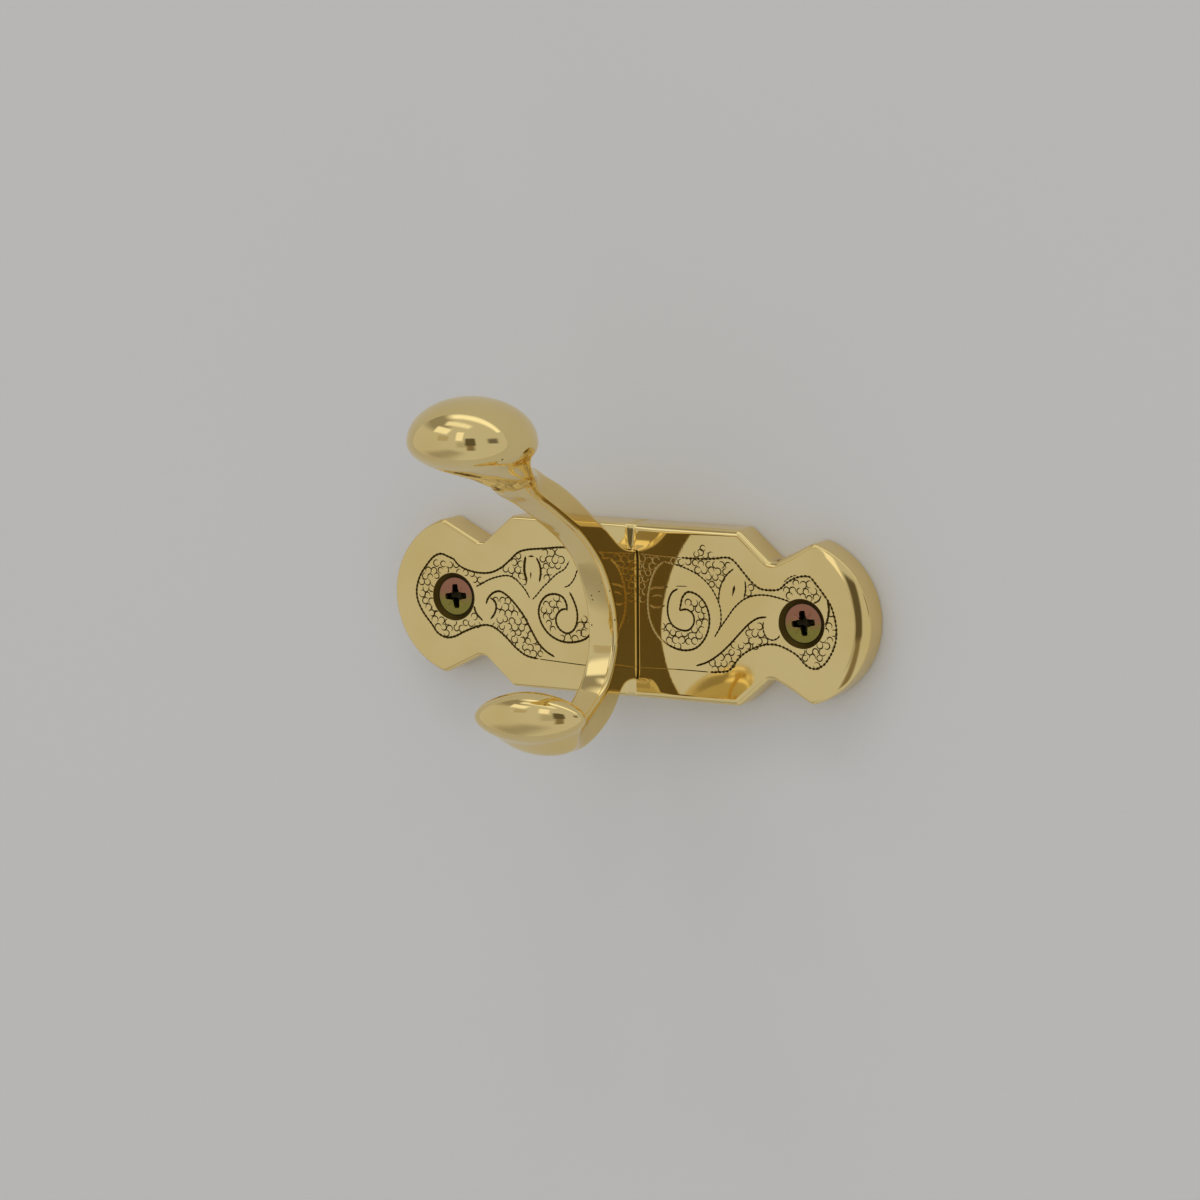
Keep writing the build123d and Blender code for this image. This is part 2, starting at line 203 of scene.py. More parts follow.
# Each ground is the outline of a field between the cuts that the punch fills with rings.
grounds = [
    [(-37.6, 6.3), (-40.4, 7.7), (-42.2, 8.1), (-44.0, 7.1), (-46.4, 4.4), (-47.4, 1.2), (-47.2, -1.4),
     (-46.0, -3.6), (-43.8, -6.0), (-42.2, -7.7), (-40.4, -8.0), (-37.4, -6.9), (-33.8, -5.5),
     (-32.8, -4.9), (-35.6, -2.0), (-35.6, 2.6), (-34.0, 2.9), (-31.4, 4.5), (-32.0, 5.0), (-35.6, 5.4)],
    [(-30.2, 0.6), (-28.6, 1.4), (-26.8, 0.6), (-24.6, -1.2), (-22.0, -4.5), (-20.2, -7.4), (-17.6, -10.1),
     (-19.4, -11.0), (-21.8, -10.7), (-24.5, -9.0), (-27.2, -6.8), (-29.8, -5.2), (-29.4, -3.2),
     (-28.8, -1.8)],
    [(-28.4, 6.0), (-26.2, 7.7), (-24.2, 9.4), (-22.9, 9.4), (-22.9, 6.0), (-22.3, 4.2), (-23.2, 3.9),
     (-25.0, 5.2)],
    [(-19.2, 9.9), (-18.0, 10.9), (-14.0, 11.2), (-12.6, 9.4), (-13.2, 8.0), (-15.6, 6.4), (-17.4, 4.8),
     (-18.3, 5.0)],
    [(-13.3, 0.6), (-14.6, 1.6), (-17.2, 1.3), (-18.5, -0.4), (-18.8, -2.2), (-17.4, -5.0), (-14.8, -6.8),
     (-12.0, -7.1), (-8.8, -6.2), (-7.0, -4.2), (-8.0, -2.0), (-9.9, -3.0), (-10.9, -5.1), (-12.6, -6.1),
     (-14.5, -5.5), (-15.7, -3.9), (-15.6, -2.1), (-14.2, -0.6)],
    [(13.4, 1.6), (13.9, 3.8), (15.8, 4.0), (17.4, 3.1), (18.6, 1.0), (18.8, -1.4), (17.8, -4.4),
     (15.6, -6.4), (13.2, -6.8), (10.8, -6.2), (8.8, -4.9), (7.4, -2.8), (9.4, -1.6), (11.0, -2.9),
     (13.0, -3.6), (15.2, -3.0), (16.4, -1.0), (16.0, 0.6), (14.8, 1.5)],
    [(3.3, 10.9), (8.6, 10.7), (7.0, 8.9), (5.9, 6.6), (5.2, 3.2), (4.6, 1.6), (3.3, 1.8)],
    [(10.0, 10.9), (16.0, 11.0), (20.0, 11.2), (23.4, 11.5), (24.0, 10.0), (22.2, 8.0), (21.2, 5.4),
     (20.9, 4.4), (19.4, 6.6), (17.6, 8.0), (14.6, 9.5), (11.0, 10.4)],
    [(27.3, 7.6), (28.6, 7.0), (30.0, 6.1), (28.8, 5.2), (27.2, 4.6)],
    [(35.0, 6.5), (36.5, 7.9), (38.8, 8.8), (40.8, 9.0), (42.2, 7.5), (43.4, 6.1), (42.6, 5.1),
     (41.0, 4.9), (37.6, 5.2), (35.4, 5.4)],
    [(45.3, 3.2), (46.0, 1.0), (46.2, -1.6), (45.6, -4.4), (44.3, -6.7), (42.6, -8.1), (41.4, -8.3),
     (40.2, -7.5), (38.6, -6.1), (36.2, -4.9), (40.0, -5.3), (43.2, -3.4), (44.4, -0.6), (45.0, 1.2)],
    [(17.6, -10.2), (20.6, -8.6), (23.8, -5.8), (26.2, -3.2), (28.8, -0.7), (30.6, 0.1), (30.7, -2.2),
     (31.8, -3.8), (33.6, -4.1), (31.2, -4.4), (28.2, -5.5), (25.8, -7.3), (24.0, -9.6), (22.4, -10.4),
     (19.6, -10.7)],
]
cut_steepness = 1.2
cut_edge = 0.02
deepest = 0.22
stroke_step = 0.16
stroke_taper = 0.7
graver_walk = 0.85
slit_step = 0.12
slit_entry = 0.3
chance = np.random.default_rng(7)
strokes = []
for width, wriggle, points in left_cuts + right_cuts:
    line = curve_through(points, stroke_step)
    share = np.linspace(0, 1, len(line))
    run = share * np.linalg.norm(np.diff(line, axis=0), axis=1).sum()
    point = np.clip(np.minimum(share, 1 - share) * run[-1] / stroke_taper, 0, 1) ** 0.6
    walk = 1.3 - 0.9 * wriggle * np.cos(np.pi * run / graver_walk) ** 2
    strokes.append((line, width / 2 * point * walk))
for width, points in leaf_slits:
    line = curve_through(points, slit_step)
    share = np.linspace(0, 1, len(line))
    strokes.append((line, width / 2 * np.clip(share / slit_entry, 0, 1) * (1 - share) ** 0.8))
punch_pitch = 1.46
punch_rise = 0.9 * punch_pitch
punch_half_width = 0.14
punch_stray = 0.2
punch_from_sink = 0.45
ring_points = 17
column, row = np.meshgrid(np.arange(-40, 41), np.arange(-10, 11))
lattice = np.column_stack([((column + 0.5 * (row % 2)) * punch_pitch).ravel(), (row * punch_rise).ravel()])
lattice = lattice + chance.uniform(-punch_stray, punch_stray, lattice.shape)
from_screw = np.hypot(np.abs(lattice[:, 0]) - screw_x, lattice[:, 1])
in_ground = np.any([inside(lattice, ground) for ground in grounds], axis=0)
struck = in_ground & (from_screw > sink_radius + punch_from_sink)
stray_rings = [(16.4, 12.3), (17.3, 12.7), (18.4, 12.2), (17.8, 13.6), (19.6, 12.3)]
for centre in [*lattice[struck], *stray_rings]:
    start, sweep = chance.uniform(0, 2 * np.pi), chance.uniform(3.9, 6.0)
    angle = start + np.linspace(0, sweep, ring_points)
    radius = chance.uniform(0.58, 0.74)
    line = centre + radius * np.column_stack([np.cos(angle), np.sin(angle)])
    swell = np.sin(np.linspace(0.02, np.pi - 0.02, ring_points)) ** 0.5
    strokes.append((line, punch_half_width * swell))


def clear_of_sinks(line, half):
    """The longest run of a stroke on which its cut stays outside both countersinks."""
    clear = np.hypot(np.abs(line[:, 0]) - screw_x, line[:, 1]) > sink_radius + sink_lip + half + 0.02
    runs = np.flatnonzero(np.diff(np.concatenate([[0], clear, [0]]))).reshape(-1, 2)
    first, last = max(runs.tolist(), key=lambda run: run[1] - run[0], default=(0, 0))
    return line[first:last], half[first:last]


strokes = [clear_of_sinks(line, half) for line, half in strokes]
strokes = [(line, half) for line, half in strokes if len(line) > 3]


def flat_sheet(y, rim, holes, strokes=()):
    """A flat sheet at depth y inside a rim, with holes in it and a V cut along each stroke.

    The sheet is triangulated between its rim, its holes, and the two edges and the bottom of every cut. A
    point lies below the face by the greatest of half width - gap - edge over all cuts, times the cutter's
    steepness, and a soft limit holds that to the deepest cut: deepest times tanh(depth / deepest).
    """
    corners, sides, count = [], [], 0
    for loop in [rim, *holes]:
        corners.append(loop)
        k = np.arange(len(loop))
        sides.append(np.column_stack([k, (k + 1) % len(loop)]) + count)
        count += len(loop)
    for line, half in strokes:
        tangent = np.gradient(line, axis=0)
        tangent /= np.linalg.norm(tangent, axis=1)[:, None]
        across = np.column_stack([-tangent[:, 1], tangent[:, 0]]) * half[:, None]
        k = np.arange(len(line) - 1)
        for chain in (line, line + across, line - across):
            corners.append(chain)
            sides.append(np.column_stack([k, k + 1]) + count)
            count += len(chain)
    made = delaunay_2d_cdt(np.vstack(corners).tolist(), np.vstack(sides).tolist(), [], 0, 1e-4)
    flat = np.array([tuple(v) for v in made[0]])
    faces = np.array(made[2])
    middle = flat[faces].mean(1)
    keep = inside(middle, rim)
    for hole in holes:
        keep &= ~inside(middle, hole)
    depth = np.zeros(len(flat))
    for line, half in strokes:
        margin = half.max() + 0.01
        near = np.flatnonzero(((flat > line.min(0) - margin) & (flat < line.max(0) + margin)).all(1))
        side = np.diff(line, axis=0)
        away = flat[near, None] - line[:-1]
        share = np.clip((away * side).sum(-1) / (side**2).sum(-1), 0, 1)
        gap = np.linalg.norm(away - share[..., None] * side, axis=-1)
        wide = half[:-1] + np.diff(half) * share
        depth[near] = np.maximum(depth[near], ((wide - gap).max(1) - cut_edge) * cut_steepness)
    depth = deepest * np.tanh(depth / deepest)
    return np.column_stack([flat[:, 0], y + depth, flat[:, 1]]), faces[keep], depth


def ring_faces(rows, columns):
    """Quads between neighbouring rows of a grid whose columns run round and meet."""
    index = np.arange(rows * columns).reshape(rows, columns)
    beside = np.roll(index, -1, axis=1)
    return np.stack([index[:-1], beside[:-1], beside[1:], index[1:]], -1).reshape(-1, 4)


def add_piece(name, parts, material, sharp_angle, attribute=None):
    """One closed object from (points in mm, faces) parts: doubles are merged and faces turned outwards.

    Edges sharper than an angle stay crisp, and so do those where an attribute of the points rises from zero.
    """
    mesh = bpy.data.meshes.new(name)
    points = np.vstack([p for p, _ in parts]) * mm
    first = np.cumsum([0] + [len(p) for p, _ in parts])
    faces = [face for (_, grid), k in zip(parts, first) for face in (grid + k).tolist()]
    mesh.from_pydata(points.tolist(), [], faces)
    if attribute is not None:
        layer = mesh.attributes.new(attribute[0], "FLOAT", "POINT")
        layer.data.foreach_set("value", attribute[1])
    shape = bmesh.new()
    shape.from_mesh(mesh)
    bmesh.ops.remove_doubles(shape, verts=shape.verts, dist=0.002 * mm)
    bmesh.ops.dissolve_degenerate(shape, edges=shape.edges, dist=0.0005 * mm)
    bmesh.ops.recalc_face_normals(shape, faces=shape.faces)
    shape.to_mesh(mesh)
    shape.free()
    mesh.shade_smooth()
    mesh.set_sharp_from_angle(angle=np.radians(sharp_angle))
    if attribute is not None:
        value = np.empty(len(mesh.vertices))
        mesh.attributes[attribute[0]].data.foreach_get("value", value)
        corner = np.empty(len(mesh.loops), int)
        edge = np.empty(len(mesh.loops), int)
        first = np.empty(len(mesh.polygons), int)
        mesh.loops.foreach_get("vertex_index", corner)
        mesh.loops.foreach_get("edge_index", edge)
        mesh.polygons.foreach_get("loop_start", first)
        cut_face = np.maximum.reduceat(value[corner], first) > 0
        beside_cut = np.repeat(cut_face, np.diff(np.append(first, len(corner))))
        cuts = np.bincount(edge, beside_cut, len(mesh.edges))
        sharp = np.empty(len(mesh.edges), bool)
        mesh.edges.foreach_get("use_edge_sharp", sharp)
        mesh.edges.foreach_set("use_edge_sharp", sharp | (cuts == 1))
    mesh.materials.append(material)
    made = bpy.data.objects.new(name, mesh)
    bpy.context.scene.collection.objects.link(made)
    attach(made, "root")
    return made


class Wire:
    """A socket of a node tree. Arithmetic on wires adds Math nodes, and node() adds any other node."""

    def __init__(self, tree, socket=None):
        self.tree = tree
        self.socket = socket

    def node(self, kind, settings=None, inputs=None, out=0):
        made = self.tree.nodes.new(kind)
        for name, value in (settings or {}).items():
            setattr(made, name, value)
        for key, value in (inputs or {}).items():
            if isinstance(value, Wire):
                self.tree.links.new(value.socket, made.inputs[key])
            else:
                made.inputs[key].default_value = value
        return Wire(self.tree, made.outputs[out])

    def math(self, operation, *values):
        return self.node("ShaderNodeMath", {"operation": operation}, dict(enumerate(values)))

    def mix(self, share, first, second):
        return self.node("ShaderNodeMix", {"data_type": "RGBA"}, {0: share, 6: first, 7: second}, 2)

    def within(self, low, high):
        """0 at low, 1 at high, with a smooth step between them."""
        settings = {"interpolation_type": "SMOOTHSTEP"}
        return self.node("ShaderNodeMapRange", settings, {"Value": self, "From Min": low, "From Max": high})

    def __add__(self, other):
        return self.math("ADD", self, other)

    def __sub__(self, other):
        return self.math("SUBTRACT", self, other)

    def __rsub__(self, other):
        return self.math("SUBTRACT", other, self)

    def __mul__(self, other):
        return self.math("MULTIPLY", self, other)

    __radd__ = __add__
    __rmul__ = __mul__


def new_metal(name):
    """A metal material with a wire to add nodes with, and the place on the piece as another wire."""
    material = bpy.data.materials.new(name)
    material.use_nodes = True
    material.node_tree.nodes["Principled BSDF"].inputs["Metallic"].default_value = 1.0
    wire = Wire(material.node_tree)
    return material, wire, wire.node("ShaderNodeTexCoord", out="Object")


def feed_shader(material, sockets):
    """Links each named socket of a material's shader to a wire."""
    tree = material.node_tree
    for name, wire in sockets.items():
        tree.links.new(wire.socket, tree.nodes["Principled BSDF"].inputs[name])


def polished_brass(name, engraved):
    """Yellow brass with a hand polish: its colour drifts a little, and hair lines roughen it.

    On the engraved plate the cuts are dark with patina and the countersinks are painted dark, as painted
    shade; beside the hook's foot the cuts are painted bright, a painted reflection. The right half leans a
    little, as hand polishing leaves it: more towards the lower edge, and less towards the end. On the hook,
    casting pits are dark, and a band along its foot is painted dark, as painted shade in the joint.
    """
    material, wire, place = new_metal(name)
    x, y, z = (wire.node("ShaderNodeSeparateXYZ", None, {0: place}, axis) for axis in range(3))
    drift = wire.node("ShaderNodeTexNoise", None, {"Vector": place, "Scale": 55.0, "Detail": 3.0})
    drift = drift.within(0.35, 0.7)
    stretched = wire.node("ShaderNodeMapping", None, {"Vector": place, "Scale": (1.0, 1.0, 0.06)})
    hairs = wire.node("ShaderNodeTexNoise", None, {"Vector": stretched, "Scale": 5200.0, "Detail": 2.0})
    hairs = hairs.within(0.52, 0.8)
    if engraved:
        dark = wire.node("ShaderNodeAttribute", {"attribute_name": "cut"}, out="Fac").within(0.003, 0.035)
        low = wire.math("MAXIMUM", -4.0 * mm - z, 0.0)
        fade = x.within(44.0 * mm, 22.0 * mm)
        wave = 0.055 * wire.math("SMOOTH_MIN", x, 33.0 * mm, 10.0 * mm)
        wave = wave + (low * low * 2.6 - 0.068 * z) * fade
        wave = wave * x.within(0.5 * mm, 3.0 * mm)
        # Painted reflection: beside the hook's foot the cuts are painted bright, as they mirror the hook
        # there.
        painted_reflection_by_foot = (x - 28.0 * z * z).within(9.4 * mm, 7.8 * mm) * x.within(-0.5 * mm, 0.0)
        patina_and_painted_light = wire.mix(painted_reflection_by_foot, patina, cut_painted_reflection)
    else:
        # Painted shade: a band just off the plate along the foot is painted dark, as shade in the joint.
        dark = y.within((face_y - 0.62) * mm, (face_y - 0.38) * mm)
        porous = z.within(-6.0 * mm, -2.0 * mm) * z.within(9.0 * mm, 5.0 * mm)
        porous = porous * y.within(-15.8 * mm, -16.3 * mm)
        # Coarse pits all over and fine ones where the casting is porous: cells to a metre, size and choice
        for cells, size, choice, where in [
            (330.0, (0.09, 0.045), (0.93, 0.935), 1.0),
            (1000.0, (0.22, 0.12), (0.74, 0.75), porous),
        ]:
            inputs = {"Vector": place, "Scale": cells}
            pit = wire.node("ShaderNodeTexVoronoi", None, inputs).within(*size)
            lot = wire.node("ShaderNodeTexVoronoi", None, inputs, "Color")
            lot = wire.node("ShaderNodeSeparateColor", None, {0: lot}).within(*choice)
            dark = wire.math("MAXIMUM", dark, pit * lot * where)
        wave = 0.0
        patina_and_painted_light = patina
    colour = wire.mix(drift, brass_light, brass_deep)
    colour = wire.mix(dark, colour, patina_and_painted_light)
    rough = 0.035 + 0.02 * drift + 0.03 * hairs + 0.45 * dark
    height = hairs * (0.0005 * mm) - dark * (0.01 * mm) + wave
    bump = wire.node("ShaderNodeBump", None, {"Strength": 1.0, "Distance": 1.0, "Height": height})
    feed_shader(material, {"Base Color": colour, "Roughness": rough, "Normal": bump})
    return material


left_roll = 0.95
right_roll = 1.5
filed_radius = 8.6
filed_left = 0.35
filed_right = 2.6
filed_angle = np.radians(19.0)
full_facet = 0.8
least_facet = 0.012
crescent_x = 31.35
crescent_radius = 18.95
crescent_fade = 3.0
flat_border = 0.1
back_bevel = 0.3
rim, inward = plate_outline(800)
level = 0 * rim[:, 0]
# The front edge rolls over wider on the right, from beside the hook to the lobe, than on the left.
rolled = np.interp(rim[:, 0], (-4.0, 8.0, lobe_corner[0] - 5.0, lobe_corner[0] - 0.5), (0, 1, 1, 0))
edge_radius = left_roll + (right_roll - left_roll) * rolled**2 * (3 - 2 * rolled)
# A crescent is filed off the face at each round end, outside a circle: wide on the right, narrow on the left.
from_crescent = np.linalg.norm(rim - np.column_stack([np.sign(rim[:, 0]) * crescent_x, level]), axis=1)
crescent = np.clip((from_crescent - crescent_radius) / crescent_fade, 0, 1)
crescent = np.where(np.abs(rim[:, 0]) > lobe_corner[0] - 1.0, crescent, 0)
filed_width = np.where(rim[:, 0] > 0, filed_right, filed_left) * crescent
leaving = filed_angle * np.clip(filed_width / full_facet, 0, 1)
arriving = np.arcsin(np.sin(leaving) + filed_width / filed_radius)
filed_inset = edge_radius * (1 - np.sin(arriving))
filed_depth = filed_radius * (np.cos(leaving) - np.cos(arriving))
edge_y = face_y + filed_depth + edge_radius * np.cos(arriving)
steps = [(level + back_bevel, level), (level, level - back_bevel), (level, 0.5 * edge_y)]
for share in np.linspace(0, 1, 11):
    lean = np.pi / 2 + (arriving - np.pi / 2) * share
    steps.append((edge_radius * (1 - np.sin(lean)), edge_y - edge_radius * np.cos(lean)))
for share in np.linspace(0, 1, 9)[1:]:
    lean = arriving + (leaving - arriving) * share
    filed = filed_radius * (np.sin(arriving) - np.sin(lean))
    filed_y = face_y + filed_radius * (np.cos(leaving) - np.cos(lean))
    steps.append((filed_inset + np.maximum(filed, least_facet * share), filed_y))
steps.append((filed_inset + np.maximum(filed, least_facet) + flat_border, level + face_y))
rows = []
for inset, y in steps:
    flat = rim + inward * inset[:, None]
    rows.append(np.column_stack([flat[:, 0], y, flat[:, 1]]))
plate_parts = [(np.vstack(rows), ring_faces(len(rows), len(rim)))]
around = np.linspace(0, 2 * np.pi, 120, endpoint=False)
circle = np.column_stack([np.cos(around), np.sin(around)])
# Each bore is rings of (radius, y) from the face to the back.
wall_bore = [(sink_radius + sink_lip, face_y), (sink_radius, face_y + sink_lip),
             (hole_radius, face_y + sink_radius - hole_radius), (hole_radius, 0)]
foot_bore = [(hole_radius, face_y), (hole_radius, hole_radius - foot_sink_radius), (foot_sink_radius, 0)]
bores = [(-screw_x, 0, wall_bore), (screw_x, 0, wall_bore)] + [(0, z, foot_bore) for z in foot_screw_z]
front_holes, back_holes = [], []
for x, z, profile in bores:
    bore = []
    for radius, y in profile:
        ring = radius * circle
        bore.append(np.column_stack([x + ring[:, 0], np.full(len(ring), y), z + ring[:, 1]]))
    plate_parts.append((np.vstack(bore), ring_faces(len(bore), len(circle))))
    front_holes.append(bore[0][:, [0, 2]])
    back_holes.append(bore[-1][:, [0, 2]])
front_points, front_faces, front_depth = flat_sheet(face_y, rows[-1][:, [0, 2]], front_holes, strokes)
back_points, back_faces, _ = flat_sheet(0.0, rows[0][:, [0, 2]], back_holes)
# The countersinks are painted dark, as painted shade in them, with the value that a cut of this depth would
# have.
sink_painted_shade = 0.05
in_sink = []
for points, _ in plate_parts:
    near_screw = np.hypot(np.abs(points[:, 0]) - screw_x, points[:, 2]) < sink_radius + 0.5 * sink_lip
    in_sink.append(sink_painted_shade * (near_screw & (points[:, 1] < 0)))
plate_parts += [(front_points, front_faces), (back_points, back_faces)]
cut_share = np.concatenate([*in_sink, front_depth, np.zeros(len(back_points))])
plate_brass = polished_brass("plate_brass", True)
backplate = add_piece("backplate_engraved", plate_parts, plate_brass, 22, ("cut", cut_share))
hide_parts("backplate")

# Hook
# One solid brass casting: a flat-sided arm that rises to a tilted, flattened ball and drops to a crook with
# an olive-shaped end. Its foot stands square on the plate, a little wider there, and two screws from behind
# hold it. The whole is polished bright.
arm_half = 3.15
stations = [
    # Front point and back point as (depth in front of the plate, height), and half the arm's width
    ((32.6, -17.6), (34.0, -23.4), 7.6),
    ((30.2, -18.9), (30.6, -23.75), 5.8),
    ((27.2, -19.6), (26.4, -23.8), 4.3),
    ((23.6, -19.0), (21.4, -23.6), 3.4),
    ((19.3, -17.1), (15.9, -22.2), arm_half),
    ((16.0, -15.3), (11.4, -20.0), arm_half),
    ((13.1, -13.0), (7.9, -17.0), arm_half),
    ((11.2, -10.4), (4.6, -14.1), arm_half),
    ((9.9, -7.6), (0.0, -13.9), arm_half),
    ((9.2, -4.2), (0.0, -6.5), arm_half),
    ((9.6, 0.0), (0.0, 0.0), arm_half),
    ((10.9, 4.0), (0.0, 6.5), arm_half),
    ((13.0, 8.1), (0.0, 12.3), arm_half),
    ((15.9, 12.0), (5.4, 13.6), arm_half),
    ((19.7, 15.4), (11.1, 17.3), arm_half),
    ((23.7, 18.2), (17.2, 21.2), arm_half),
    ((29.0, 21.2), (24.1, 25.5), arm_half),
    ((35.7, 24.7), (32.1, 29.6), 3.2),
    ((41.5, 27.4), (38.5, 32.2), 3.6),
    ((45.2, 28.9), (42.5, 33.9), 4.8),
    ((48.0, 30.0), (46.2, 34.7), 6.4),
]
foot_stations = (8, 12)
foot_width = 7.3
foot_flare = 0.8
front_corner = 1.0
back_corner = 0.95
corner_growth = 0.22
front_crown = 0.14
oval_from = 3.4
oval_over = 2.4
neck_skew = 0.14


def natural_spline(knots, values, at):
    """Natural cubic spline: a cubic between neighbouring knots, with no jump in slope or bend at any knot."""
    knots, values = np.asarray(knots, float), np.asarray(values, float)
    step = np.diff(knots)
    slope = np.diff(values, axis=0) / step[:, None]
    system = np.eye(len(knots))
    inner = np.arange(1, len(knots) - 1)
    system[inner, inner - 1] = step[:-1]
    system[inner, inner] = 2 * (step[:-1] + step[1:])
    system[inner, inner + 1] = step[1:]
    pull = np.zeros_like(values)
    pull[1:-1] = 6 * np.diff(slope, axis=0)
    bend = np.linalg.solve(system, pull)
    k = np.clip(np.searchsorted(knots, at, side="right") - 1, 0, len(step) - 1)
    h = step[k][:, None]
    a, b = knots[k + 1][:, None] - at[:, None], at[:, None] - knots[k][:, None]
    curve = (bend[k] * a**3 + bend[k + 1] * b**3) / (6 * h)
    curve += (values[k] / h - bend[k] * h / 6) * a
    return curve + (values[k + 1] / h - bend[k + 1] * h / 6) * b


def arm_rings():
    """Rings of the arm from its lower to its upper end: rounded rectangles between a front and a back line.

    Where the arm widens towards its knobs, each ring goes over to the ellipse of the same width and
    thickness. The front is crowned a little, with a slant across it on the upper neck, and the foot flares
    onto the plate.
    """
    front_line = np.array([s[0] for s in stations])
    back_line = np.array([s[1] for s in stations])
    half_width = np.array([[s[2]] for s in stations])
    middle = (front_line + back_line) / 2
    knots = np.concatenate([[0], np.cumsum(np.linalg.norm(np.diff(middle, axis=0), axis=1) + 1.0)])
    low, high = knots[foot_stations[0]], knots[foot_stations[1]]
    spans = [np.linspace(0, low, 80), np.linspace(low, high, 60), np.linspace(high, knots[-1], 130)]
    at = np.unique(np.concatenate(spans))
    f = natural_spline(knots, front_line, at)
    first, last = foot_stations
    pieces = [slice(0, first + 1), slice(first, last + 1), slice(last, None)]
    masks = [at < low, (at >= low) & (at <= high), at > high]
    b = np.empty_like(f)
    for piece, mask in zip(pieces, masks):
        b[mask] = natural_spline(knots[piece], back_line[piece], at[mask])
    w = natural_spline(knots, half_width, at)
    along = b - f
    thick = np.linalg.norm(along, axis=1)[:, None]
    along /= thick
    on_foot = np.clip((at - low) / 2, 0, 1) * np.clip((high - at) / 2, 0, 1)
    growth = corner_growth * (w - arm_half)
    front_round = np.minimum(front_corner + growth, 0.45 * thick)
    back_round = np.minimum(back_corner + growth, 0.45 * thick) * (1 - 0.7 * on_foot[:, None])
    flat_side = thick - front_round - back_round
    share, corner = np.arange(6) / 6, np.radians(np.arange(9) * 10)
    side, back_share = np.arange(1, 18) / 18, np.arange(1, 7) / 6
    sine, cosine = np.sin(corner), np.cos(corner)
    x = np.hstack([share * (w - front_round), w - front_round * (1 - sine), w + 0 * side,
                   w - back_round * (1 - cosine), (w - back_round) * (1 - back_share)])
    t = np.hstack([0 * share * w, front_round * (1 - cosine), front_round + side * flat_side,
                   thick - back_round * (1 - sine), thick + 0 * back_share])
    t = t - front_crown * (1 - (x / w) ** 2) * (t < thick / 2)
    lean = np.arctan2(1 - 2 * t / thick, x / w)
    oval = np.clip((w - oval_from) / oval_over, 0, 1)
    oval = oval * oval * (3 - 2 * oval)
    x = x + (w * np.cos(lean) - x) * oval
    t = t + (thick / 2 * (1 - np.sin(lean)) - t) * oval
    x = np.hstack([x, -x[:, -2:0:-1]])
    t = np.hstack([t, t[:, -2:0:-1]])
    on_neck = np.clip((f[:, :1] - 17) / 8, 0, 1) * np.clip((49 - f[:, :1]) / 5, 0, 1) * (f[:, 1:] > 0)
    t = t + neck_skew * on_neck * x * np.clip(1 - t / thick, 0, 1)
    depth = f[:, :1] + t * along[:, :1]
    height = f[:, 1:] + t * along[:, 1:]
    flare = foot_width / (2 * arm_half) - 1
    x = x * (1 + flare * np.clip(1 - depth / foot_flare, 0, 1) ** 1.6)
    return np.stack([x, face_y - np.maximum(depth, 0.0), height], -1)


def knob_rings(last, before, centre, radii, tilt, roll, entry, spread, under, power):
    """Rings from the arm's end over a flaring neck and a tilted, flattened ball to its far pole.

    In the space where the ball is a unit sphere, each ring point follows a great circle from the neck's foot,
    an ellipse about the entry point, to the pole opposite. A Hermite cubic joins the arm's end to that foot.
    Below its middle the ball is flatter by the factor under. Its outline is |x|^power + r^power = 1, so that
    a power below 2 makes its two sides pointed.
    """
    turn, lean = -np.radians(tilt), np.radians(roll)
    axes = np.array([[1, 0, 0], [0, np.cos(turn), np.sin(turn)], [0, -np.sin(turn), np.cos(turn)]])
    axes = axes @ np.array([[np.cos(lean), 0, np.sin(lean)], [0, 1, 0], [-np.sin(lean), 0, np.cos(lean)]])
    pole = np.array([0, *entry]) @ axes.T / radii
    pole /= np.linalg.norm(pole)
    across = np.array([1.0, 0, 0]) - pole[0] * pole
    across /= np.linalg.norm(across)
    upright = np.cross(pole, across)
    local = ((last - last.mean(0)) @ axes.T) / radii
    u, v = local @ across, local @ upright
    angle = np.arctan2(v / np.abs(v).max(), u / np.abs(u).max())
    c, s = np.cos(angle)[:, None], np.sin(angle)[:, None]
    foot = 1 / np.sqrt((c / spread[0]) ** 2 + (s / np.where(s > 0, spread[1], spread[2])) ** 2)
    away = c * across + s * upright

    def on_ball(a):
        ball = np.cos(a) * pole + np.sin(a) * away
        side = np.abs(ball[:, :1])
        ball = ball / (side**power + np.sqrt(1 - side**2) ** power) ** (1 / power)
        return (ball * np.where(ball[:, 2:] < 0, (1, 1, under), 1.0) * radii) @ axes + centre

    start, finish = last, on_ball(foot)
    gap = np.linalg.norm(finish - start, axis=1)[:, None]
    leave = last - before
    leave = leave / np.linalg.norm(leave, axis=1)[:, None] * gap
    arrive = on_ball(foot + 0.01) - finish
    arrive = arrive / np.linalg.norm(arrive, axis=1)[:, None] * gap
    rings = []
    for q in np.linspace(0, 1, 36)[1:]:
        ring = (2 * q**3 - 3 * q**2 + 1) * start + (q**3 - 2 * q**2 + q) * leave
        rings.append(ring + (3 * q**2 - 2 * q**3) * finish + (q**3 - q**2) * arrive)
    for q in np.linspace(0, 1, 72)[1:]:
        rings.append(on_ball(foot + (np.pi - 0.004 - foot) * q))
    return np.array(rings)


